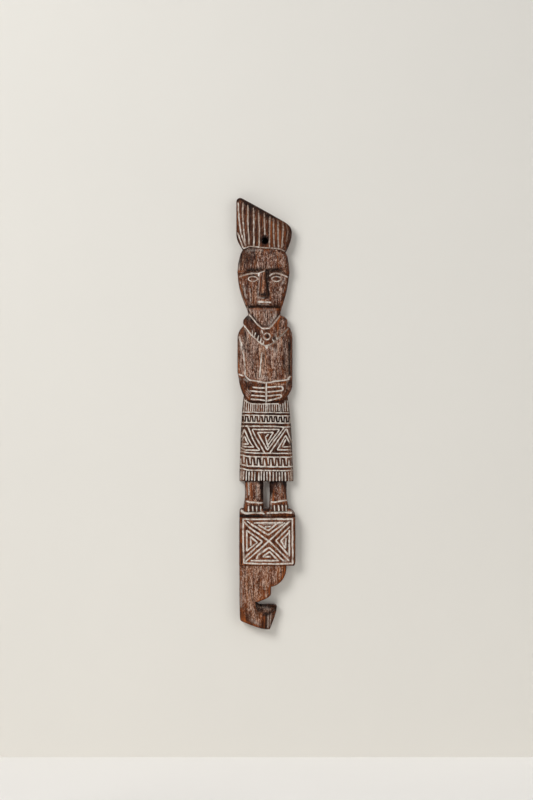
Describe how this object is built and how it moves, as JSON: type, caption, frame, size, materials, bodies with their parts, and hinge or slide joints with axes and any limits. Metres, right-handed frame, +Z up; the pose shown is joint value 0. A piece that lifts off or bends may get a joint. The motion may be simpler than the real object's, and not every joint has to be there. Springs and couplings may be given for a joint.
{
  "type": "carved wooden wall figure",
  "caption": "Long flat-backed wall carving of a standing figure on a block, with lime in its cut lines, a hole through the headdress to hang it by, and a hooked lower end.",
  "frame": {"origin": "middle of the hanging hole, in the flat back of the plank", "axes": "+Z up along the plank, +Y from the front back to the wall, +X to the right as seen from the front"},
  "size_m": [0.0947, 0.031, 0.6911],
  "materials": {
    "wood": "dark stained, dry and open grained",
    "lime": "chalky, rubbed into the cut lines"
  },
  "bodies": {
    "root": {"carved_plank": "wood", "headdress_lime": "lime", "face_lime": "lime", "neck_lime": "lime", "collar_edge_lime": "lime", "collar_fringe_lime": "lime", "pendant_lime": "lime", "sleeve_lime": "lime", "finger_lime": "lime", "waist_fringe_lime": "lime", "upper_band_lime": "lime", "triangle_lime": "lime", "lower_band_lime": "lime", "hem_fringe_lime": "lime", "left_foot_lime": "lime", "right_foot_lime": "lime", "panel_lime": "lime"}
  },
  "joints": []
}
